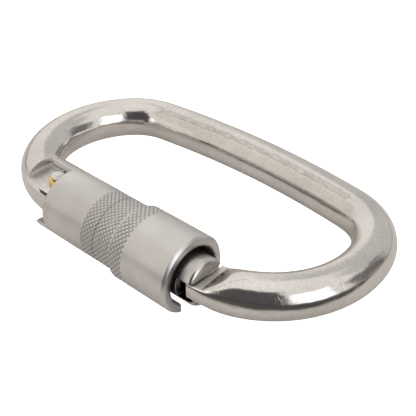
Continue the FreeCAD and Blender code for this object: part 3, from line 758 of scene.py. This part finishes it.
def make_bush(name, node, side, material):
    """Brass collar under the rivet's head, with a rounded shoulder and a fine turned groove."""
    low, high = bush_low.z, bush_high.z
    radius = (bush_high.x - bush_low.x) / 2
    bore = RIVET_HOLE
    profile = [(low, bore), (low, radius - 0.06), (low + 0.06, radius), (low + 0.55, radius),
               (low + 0.62, radius - 0.05), (low + 0.69, radius)]
    profile += arc_points((high - 0.35, radius - 0.35), 0.35, 90, 0, 6)
    profile += [(high, bore + 0.1), (high - 0.1, bore)]
    profile = [(side * along, across) for along, across in profile]
    bush = lathe(name, profile, along="z", centre=(HINGE_X, GATE_Y, 0.0), columns=96)
    shade(bush, 40.0)
    place(bush, "gate", material, "brass", node)


# ---------------------------------------------------------------- materials

class Nodes:
    """Shorthand for building a node tree."""

    def __init__(self, tree):
        self.tree = tree

    def add(self, kind, **values):
        node = self.tree.nodes.new(kind)
        for key, value in values.items():
            if hasattr(node, key):
                setattr(node, key, value)
            else:
                node.inputs[key].default_value = value
        return node

    def link(self, source, target):
        self.tree.links.new(source, target)

    def math(self, operation, first, second=None):
        node = self.tree.nodes.new("ShaderNodeMath")
        node.operation = operation
        for index, value in enumerate((first, second)):
            if value is None:
                continue
            if isinstance(value, (int, float)):
                node.inputs[index].default_value = value
            else:
                self.link(value, node.inputs[index])
        return node.outputs[0]

    def ramp(self, source, stops):
        """Map 0..1 to colours or greys given as (position, value) stops."""
        node = self.tree.nodes.new("ShaderNodeValToRGB")
        self.link(source, node.inputs[0])
        elements = node.color_ramp.elements
        while len(elements) < len(stops):
            elements.new(0.5)
        for element, (position, value) in zip(elements, stops):
            element.position = position
            element.color = (*value, 1.0) if isinstance(value, tuple) else (value, value, value, 1.0)
        return node.outputs[0]

    def noise(self, coordinates, scale, stretch=(1, 1, 1), detail=3.0, rough=0.55):
        mapping = self.add("ShaderNodeMapping")
        mapping.inputs["Scale"].default_value = stretch
        self.link(coordinates, mapping.inputs["Vector"])
        node = self.add("ShaderNodeTexNoise", Scale=scale, Detail=detail, Roughness=rough)
        self.link(mapping.outputs[0], node.inputs["Vector"])
        return node.outputs["Fac"]

    def mix(self, factor, first, second, blend="MIX"):
        node = self.tree.nodes.new("ShaderNodeMix")
        node.data_type = "RGBA"
        node.blend_type = blend
        sockets = (node.inputs[0], node.inputs[6], node.inputs[7])
        for socket, value in zip(sockets, (factor, first, second)):
            if isinstance(value, (int, float)):
                socket.default_value = value
            elif isinstance(value, tuple):
                socket.default_value = (*value, 1.0)
            else:
                self.link(value, socket)
        return node.outputs[2]


def metal(name, colour, roughness, tint=0.06, grain=(1, 1, 1), grain_scale=900.0, grain_bump=0.06,
          wave_scale=110.0, wave_bump=0.0, rough_spread=0.08, edge=0.25, scratch=0.0, grain_tint=0.55,
          finish=None):
    """A metal with uneven colour, grain, faint waviness, scratches and smoother edges whose colour is lifted
    brighter as a painted highlight.
    """
    material = bpy.data.materials.new(name)
    material.use_nodes = True
    tree = material.node_tree
    tree.nodes.clear()
    n = Nodes(tree)
    output = n.add("ShaderNodeOutputMaterial")
    shader = n.add("ShaderNodeBsdfPrincipled", Metallic=1.0)
    n.link(shader.outputs[0], output.inputs[0])
    place_at = n.add("ShaderNodeTexCoord").outputs["Object"]

    patches = n.noise(place_at, 75.0, detail=4.0)
    grains = n.noise(place_at, grain_scale, grain, detail=4.0, rough=0.65)
    dark = tuple(c * (1 - tint) for c in colour)
    light = tuple(min(1.0, c * (1 + tint * 0.6)) for c in colour)
    base = n.mix(n.ramp(patches, [(0.35, 0.0), (0.65, 1.0)]), dark, light)
    shade_grain = n.ramp(grains, [(0.3, 0.9), (0.7, 1.04)])
    base = n.mix(grain_tint, base, shade_grain, "MULTIPLY")

    rounded = n.add("ShaderNodeBevel", samples=4, Radius=edge * MM)
    facing = n.add("ShaderNodeVectorMath", operation="DOT_PRODUCT")
    n.link(rounded.outputs[0], facing.inputs[0])
    n.link(n.add("ShaderNodeNewGeometry").outputs["Normal"], facing.inputs[1])
    # Painted highlight: near rounded edges the colour is lifted brighter; the edges are also made smoother.
    edge_sheen = n.ramp(facing.outputs["Value"], [(0.80, 1.0), (0.985, 0.0)])
    base = n.mix(n.math("MULTIPLY", edge_sheen, 0.45), base, tuple(min(1.0, c * 1.18) for c in colour))

    blotches = n.math("MULTIPLY", n.ramp(patches, [(0.3, -0.5), (0.7, 0.5)]), rough_spread * 0.6)
    speckle = n.math("MULTIPLY", n.math("SUBTRACT", grains, 0.5), rough_spread)
    rough = n.math("ADD", n.math("ADD", blotches, speckle), roughness)
    rough = n.math("SUBTRACT", rough, n.math("MULTIPLY", edge_sheen, 0.05))
    if finish:
        base, rough = finish(n, place_at, base, rough)
    n.link(base, shader.inputs["Base Color"])
    n.link(rough, shader.inputs["Roughness"])

    bump = n.add("ShaderNodeBump", Strength=grain_bump, Distance=0.05 * MM)
    n.link(grains, bump.inputs["Height"])
    n.link(rounded.outputs[0], bump.inputs["Normal"])
    last = bump
    if wave_bump:
        wave = n.add("ShaderNodeBump", Strength=wave_bump, Distance=0.6 * MM)
        n.link(n.noise(place_at, wave_scale, detail=1.5), wave.inputs["Height"])
        n.link(last.outputs[0], wave.inputs["Normal"])
        last = wave
    if scratch:
        lines = n.noise(place_at, 420.0, (0.35, 3.2, 1.0), detail=2.0, rough=0.8)
        fine = n.ramp(lines, [(0.60, 0.0), (0.66, 1.0)])
        marks = n.add("ShaderNodeBump", Strength=scratch, Distance=0.03 * MM, invert=True)
        n.link(fine, marks.inputs["Height"])
        n.link(last.outputs[0], marks.inputs["Normal"])
        last = marks
    n.link(last.outputs[0], shader.inputs["Normal"])
    return material


def axis_parts(n, place_at):
    """Position along the gate's axis, distance from it and angle round it, in millimetres and radians."""
    split = n.add("ShaderNodeSeparateXYZ")
    n.link(place_at, split.inputs[0])
    along = n.math("DIVIDE", split.outputs[0], MM)
    sideways = n.math("SUBTRACT", n.math("DIVIDE", split.outputs[1], MM), GATE_Y)
    upward = n.math("DIVIDE", split.outputs[2], MM)
    squares = n.math("ADD", n.math("MULTIPLY", sideways, sideways), n.math("MULTIPLY", upward, upward))
    return along, sideways, upward, n.math("SQRT", squares), n.math("ARCTAN2", upward, sideways)


def surface_facing(n):
    """The x, y and z parts of the way a face points."""
    facing = n.add("ShaderNodeSeparateXYZ")
    n.link(n.add("ShaderNodeNewGeometry").outputs["True Normal"], facing.inputs[0])
    return facing.outputs


def above(n, value, limit, soft):
    """0 below the limit and 1 above it, with a soft step."""
    step = n.math("ADD", n.math("DIVIDE", n.math("SUBTRACT", value, limit), soft), 0.5)
    step.node.use_clamp = True
    return step


def below(n, value, limit, soft):
    """1 below the limit and 0 above it, with a soft step."""
    return n.math("SUBTRACT", 1.0, above(n, value, limit, soft))


def between(n, value, low, high, soft):
    """1 between two values and 0 outside them, with soft steps."""
    return n.math("MULTIPLY", above(n, value, low, soft), below(n, value, high, soft))


def sleeve_finish(n, place_at, base, rough):
    """The knurl's grooves and the seam are coloured darker; the bore is rougher and carries painted shade,
    coloured dark where shade falls inside the tube.
    """
    along, _, upward, radius, angle = axis_parts(n, place_at)
    spacing = TAU * SLEEVE_RADIUS / KNURL_LINES
    turns = n.math("MULTIPLY", angle, KNURL_LINES / TAU)
    groove = None
    for side in (-1, 1):
        phase = n.math("FRACT", n.math("ADD", turns, n.math("MULTIPLY", along, side / spacing)))
        distance = n.math("MULTIPLY", n.math("ABSOLUTE", n.math("SUBTRACT", phase, 0.5)), 2.0)
        deep = above(n, distance, 0.80, 0.34)
        groove = deep if groove is None else n.math("MAXIMUM", groove, deep)
    zones = None
    for start, stop, fade_in, _ in KNURL_ZONES:
        zone = between(n, along, start + fade_in / 2, stop, 0.15)
        zones = zone if zones is None else n.math("MAXIMUM", zones, zone)
    outside = above(n, radius, SLEEVE_RADIUS - KNURL_DEPTH * 1.6, 0.05)
    # The knurl's grooves and the seam are coloured darker and made rougher.
    darker_grooves = n.math("MULTIPLY", n.math("MULTIPLY", groove, zones), outside)
    seam = n.math("MULTIPLY", between(n, along, SEAM_X - 0.15, SEAM_X + 0.15, 0.1), outside)
    darker_grooves = n.math("MAXIMUM", darker_grooves, seam)
    base = n.mix(n.math("MULTIPLY", darker_grooves, 0.62), base, (0.15, 0.135, 0.125))
    # Painted shade: the bore and the inside of the lower tab are coloured dark with specks, standing in for
    # the shade inside the tube.
    bore = below(n, radius, SLEEVE_BORE + 0.45, 0.3)
    tab_inside_shade = n.math("MULTIPLY", below(n, along, SLEEVE_HINGE_END - 0.2, 0.2), below(n, upward, 0.0, 1.0))
    tab_inside_shade = n.math("MULTIPLY", tab_inside_shade, below(n, radius, SLEEVE_RADIUS - 0.2, 0.1))
    bore = n.math("MAXIMUM", bore, tab_inside_shade)
    specks = n.noise(place_at, 1500.0, detail=3.0)
    bore_shade_tone = n.ramp(specks, [(0.35, (0.10, 0.095, 0.09)), (0.65, (0.32, 0.31, 0.30))])
    base = n.mix(n.math("MULTIPLY", bore, 0.85), base, bore_shade_tone)
    rough = n.math("ADD", rough, n.math("MULTIPLY", darker_grooves, 0.2))
    return base, n.math("ADD", rough, n.math("MULTIPLY", bore, 0.1))


def bow_finish(n, place_at, base, rough):
    """The milled flats are paler and duller than the polished bar; the scooped step is brushed and carries a
    painted highlight, its colour lifted near white.
    """
    along, sideways, upward, _, _ = axis_parts(n, place_at)
    facing = surface_facing(n)
    flat = n.math("MULTIPLY", above(n, n.math("ABSOLUTE", facing[2]), 0.95, 0.06),
                  below(n, n.math("ABSOLUTE", upward), TENON_HALF + 0.15, 0.05))
    step = n.math("MULTIPLY", between(n, along, HINGE_STEP - 1.6, HINGE_STEP + 0.2, 0.1),
                  above(n, facing[0], 0.3, 0.2))
    step = n.math("MULTIPLY", step, below(n, sideways, 14.0, 1.0))
    mill_lines = n.noise(place_at, 650.0, (0.5, 4.0, 0.5), detail=3.0, rough=0.7)
    mill_lines = n.ramp(mill_lines, [(0.3, 0.0), (0.7, 1.0)])
    pale = n.mix(mill_lines, (0.60, 0.575, 0.545), (0.82, 0.79, 0.755))
    milled = n.math("MAXIMUM", flat, step)
    base = n.mix(n.math("MULTIPLY", milled, 0.8), base, pale)
    # Painted highlight: the scooped step's colour is lifted almost to white, so it does not look dark from
    # what it reflects.
    base = n.mix(n.math("MULTIPLY", step, 0.6), base, (0.95, 0.92, 0.88))
    duller = n.math("ADD", n.math("MULTIPLY", flat, 0.26), n.math("MULTIPLY", step, 0.42))
    return base, n.math("ADD", rough, duller)


def gate_finish(n, place_at, base, rough):
    """Pale pitted ears with painted shade on their outer side, a front face with painted shade, and a painted
    shadow on the faces inside the fork.
    """
    along, _, upward, _, _ = axis_parts(n, place_at)
    facing = surface_facing(n)
    ears = below(n, along, EAR_FLAT_END - 0.1, 0.3)
    pits = n.noise(place_at, 1700.0, detail=4.0)
    pits = n.ramp(pits, [(0.35, (0.52, 0.50, 0.48)), (0.6, (0.90, 0.88, 0.86))])
    base = n.mix(n.math("MULTIPLY", ears, 0.85), base, pits)
    # Painted shade: the ears' outer side is coloured near black, for the shade in the slit beside the tenon.
    ear_side_shade = n.math("MULTIPLY", ears, below(n, facing[1], -0.6, 0.3))
    base = n.mix(ear_side_shade, base, (0.09, 0.07, 0.06))
    # Painted shade: the nose end's front face is coloured darker; it is also made rougher.
    shaded_front = n.math("MULTIPLY", above(n, along, GATE_TIP - 0.6, 0.4), above(n, facing[0], 0.93, 0.05))
    base = n.mix(n.math("MULTIPLY", shaded_front, 0.6), base, (0.30, 0.275, 0.25))
    # Painted shadow: the faces inside the fork are coloured near black, for the shade in the narrow gap.
    fork = n.math("MULTIPLY", above(n, along, GATE_TIP - 4.0, 0.2),
                  below(n, n.math("ABSOLUTE", upward), FORK_HALF + 0.05, 0.05))
    base = n.mix(n.math("MULTIPLY", fork, 0.9), base, (0.04, 0.035, 0.03))
    rough = n.math("ADD", rough, n.math("MULTIPLY", ears, 0.15))
    return base, n.math("ADD", rough, n.math("MULTIPLY", shaded_front, 0.12))


bow_steel = metal("tumbled_stainless", (0.71, 0.68, 0.645), 0.125, tint=0.09, grain_scale=1400.0,
                  grain_bump=0.14, wave_scale=190.0, wave_bump=0.20, rough_spread=0.09, edge=0.3,
                  scratch=0.25, grain_tint=1.0, finish=bow_finish)
sleeve_steel = metal("satin_turned_stainless", (0.66, 0.64, 0.62), 0.35, tint=0.10, grain=(9.0, 0.5, 0.5),
                     grain_scale=520.0, grain_bump=0.10, rough_spread=0.08, edge=0.12, scratch=0.1,
                     finish=sleeve_finish)
gate_steel = metal("turned_stainless", (0.62, 0.595, 0.57), 0.24, tint=0.06, grain=(7.0, 0.6, 0.6),
                   grain_scale=520.0, grain_bump=0.10, rough_spread=0.08, edge=0.2, scratch=0.15,
                   finish=gate_finish)
rivet_steel = metal("polished_rivet", (0.72, 0.72, 0.70), 0.22, tint=0.05, grain_scale=1500.0,
                    grain_bump=0.06, rough_spread=0.06, edge=0.12, wave_bump=0.1, wave_scale=260.0)
brass = metal("turned_brass", (0.80, 0.56, 0.22), 0.24, tint=0.10, grain=(0.6, 0.6, 6.0),
              grain_scale=700.0, grain_bump=0.12, rough_spread=0.10, edge=0.15)
pin_steel = metal("ground_pin_steel", (0.55, 0.54, 0.53), 0.28, tint=0.06, grain=(1, 1, 5.0),
                  grain_scale=600.0)
spring_steel = metal("drawn_spring_wire", (0.45, 0.45, 0.46), 0.32, tint=0.10, grain_scale=900.0)

make_bow(bow_steel)
make_sleeve(sleeve_steel)
make_gate(gate_steel)
make_rivet(rivet_steel)
make_bush("brass_bush_upper", "upper_hinge_bush", 1, brass)
make_bush("brass_bush_lower", "lower_hinge_bush", -1, brass)

CARRIED_OVER = {"latch_pin": pin_steel, "gate_plunger": pin_steel, "guide_pin": pin_steel,
                "guide_ring": gate_steel, "gate_spring": spring_steel, "sleeve_spring": spring_steel}
for node, material in CARRIED_OVER.items():
    frame["nodes"][node].data.materials.clear()
    frame["nodes"][node].data.materials.append(material)

# ---------------------------------------------------------------- floor, light and camera

FLOOR_Z = sleeve_low.z * MM - 0.0002
TARGET = Vector((6.56, -2.17, 0.0)) * MM
AZIMUTH = math.radians(43.3)
ELEVATION = math.radians(34.95)
DISTANCE = 219.9 * MM
ROLL = math.radians(-0.4)
LENS = 78.5
DARK_FLOOR_LINE = 56.0 * MM


def make_floor():
    """A pale floor that turns dark past a ragged line in front of the object. The camera sees it evenly lit
    from beneath; the metal reflects its mottled face and the dark part past the ragged line."""
    size = 3.0
    corners = [(-size, -size, FLOOR_Z), (size, -size, FLOOR_Z), (size, size, FLOOR_Z), (-size, size, FLOOR_Z)]
    mesh = bpy.data.meshes.new("floor")
    mesh.from_pydata(corners, [], [(0, 1, 2, 3)])
    floor = bpy.data.objects.new("floor", mesh)
    bpy.context.scene.collection.objects.link(floor)
    material = bpy.data.materials.new("pale_floor")
    material.use_nodes = True
    tree = material.node_tree
    tree.nodes.clear()
    n = Nodes(tree)
    output = n.add("ShaderNodeOutputMaterial")
    paper = n.add("ShaderNodeBsdfDiffuse")
    place_at = n.add("ShaderNodeTexCoord").outputs["Object"]
    mottle = n.noise(place_at, 900.0, detail=5.0)
    tone = n.ramp(mottle, [(0.3, (0.74, 0.71, 0.68)), (0.7, (0.98, 0.955, 0.93))])
    split = n.add("ShaderNodeSeparateXYZ")
    n.link(place_at, split.inputs[0])
    towards_camera = n.math("SUBTRACT", n.math("MULTIPLY", split.outputs[0], math.sin(AZIMUTH)),
                            n.math("MULTIPLY", split.outputs[1], math.cos(AZIMUTH)))
    ragged = n.math("MULTIPLY", n.math("SUBTRACT", n.noise(place_at, 60.0, detail=4.0), 0.5), 0.03)
    # The floor's colour turns dark past a ragged line towards the camera.
    past_dark_line = n.ramp(n.math("ADD", towards_camera, ragged), [(DARK_FLOOR_LINE, 1.0), (DARK_FLOOR_LINE + 0.012, 0.13)])
    n.link(n.mix(1.0, tone, past_dark_line, "MULTIPLY"), paper.inputs["Color"])
    glow = n.add("ShaderNodeEmission", Strength=1.1)
    both = n.add("ShaderNodeAddShader")
    n.link(paper.outputs[0], both.inputs[0])
    n.link(glow.outputs[0], both.inputs[1])
    pick = n.add("ShaderNodeMixShader")
    n.link(n.add("ShaderNodeLightPath").outputs["Is Camera Ray"], pick.inputs[0])
    n.link(paper.outputs[0], pick.inputs[1])
    n.link(both.outputs[0], pick.inputs[2])
    n.link(pick.outputs[0], output.inputs[0])
    mesh.materials.append(material)


def make_world():
    """A white light tent with a thin dark seam at the horizon, folds of darker cloth, two bright panels
    and a dark opening for the camera. Azimuths are turned so that the camera is at zero."""
    world = bpy.data.worlds.new("light_tent")
    bpy.context.scene.world = world
    world.use_nodes = True
    tree = world.node_tree
    tree.nodes.clear()
    n = Nodes(tree)
    output = n.add("ShaderNodeOutputWorld")
    background = n.add("ShaderNodeBackground", Strength=1.06)
    n.link(background.outputs[0], output.inputs[0])
    direction = n.add("ShaderNodeTexCoord").outputs["Generated"]
    turned = n.add("ShaderNodeVectorRotate", rotation_type="Z_AXIS", Angle=-AZIMUTH)
    n.link(direction, turned.inputs["Vector"])
    split = n.add("ShaderNodeSeparateXYZ")
    n.link(turned.outputs[0], split.inputs[0])
    degrees = 180 / math.pi
    backwards = n.math("MULTIPLY", split.outputs[1], -1.0)
    azimuth = n.math("MULTIPLY", n.math("ARCTAN2", split.outputs[0], backwards), degrees)
    elevation = n.math("MULTIPLY", n.math("ARCSINE", split.outputs[2]), degrees)
    wobble = n.math("MULTIPLY", n.math("SUBTRACT", n.noise(direction, 7.0, detail=5.0), 0.5), 26.0)
    azimuth_wavy = n.math("ADD", azimuth, wobble)
    elevation_wavy = n.math("ADD", elevation, wobble)

    def band(value, low, high, soft):
        """1 between low and high degrees, falling off over the soft width."""
        from_middle = n.math("ABSOLUTE", n.math("SUBTRACT", value, (low + high) / 2))
        inside = n.math("DIVIDE", n.math("SUBTRACT", (high - low) / 2, from_middle), soft)
        inside = n.math("ADD", inside, 0.5)
        inside.node.use_clamp = True
        return inside

    def patch(colour, below, strength, sides, heights, soft):
        mask = n.math("MULTIPLY", band(azimuth_wavy, *sides, soft), band(elevation_wavy, *heights, soft))
        return n.mix(n.math("MULTIPLY", mask, strength), below, colour)

    height = n.math("DIVIDE", elevation, 90.0)
    colour = n.ramp(height, [(0.0, (0.10, 0.07, 0.055)), (0.028, (0.16, 0.12, 0.10)),
                             (0.045, (0.86, 0.83, 0.80)), (0.35, (0.93, 0.91, 0.88)),
                             (1.0, (1.0, 0.98, 0.95))])
    right_fold = (0.62, 0.61, 0.60)
    right_shadow = (0.13, 0.12, 0.12)
    right_panel = (2.0, 2.05, 2.15)
    left_fold = (0.74, 0.70, 0.65)
    left_panel = (1.7, 1.68, 1.65)
    opening = (0.045, 0.042, 0.05)
    hem_thread = (0.22, 0.09, 0.07)
    colour = patch(right_fold, colour, 1.0, (95, 175), (2, 60), 10.0)
    colour = patch(right_shadow, colour, 0.9, (70, 108), (3, 36), 7.0)
    colour = patch(right_panel, colour, 1.0, (18, 50), (2, 46), 3.0)
    colour = patch(left_fold, colour, 0.75, (-128, -72), (3, 52), 7.0)
    colour = patch(left_panel, colour, 1.0, (-64, -55), (4, 22), 3.0)
    colour = patch(opening, colour, 0.95, (-50, 13), (-1, 62), 3.0)
    hem = n.math("MULTIPLY", band(azimuth, -170, -85, 8.0), band(elevation, 54.2, 56.0, 0.6))
    colour = n.mix(n.math("MULTIPLY", hem, 0.95), colour, hem_thread)
    path = n.add("ShaderNodeLightPath")
    shown = n.mix(path.outputs["Is Camera Ray"], colour, (1.0, 1.0, 1.0))
    n.link(shown, background.inputs["Color"])


def make_camera():
    """A long lens looking down at the loop from its gate side."""
    data = bpy.data.cameras.new("camera")
    data.lens = LENS
    data.sensor_width = 36.0
    data.clip_start = 0.01
    camera = bpy.data.objects.new("camera", data)
    bpy.context.scene.collection.objects.link(camera)
    away = Vector((math.sin(AZIMUTH) * math.cos(ELEVATION), -math.cos(AZIMUTH) * math.cos(ELEVATION),
                   math.sin(ELEVATION)))
    camera.location = TARGET + away * DISTANCE
    camera.rotation_mode = "QUATERNION"
    camera.rotation_quaternion = away.to_track_quat("Z", "Y") @ Quaternion((0.0, 0.0, 1.0), ROLL)
    bpy.context.scene.camera = camera


make_floor()
make_world()
make_camera()
bpy.context.scene.view_settings.view_transform = "Standard"
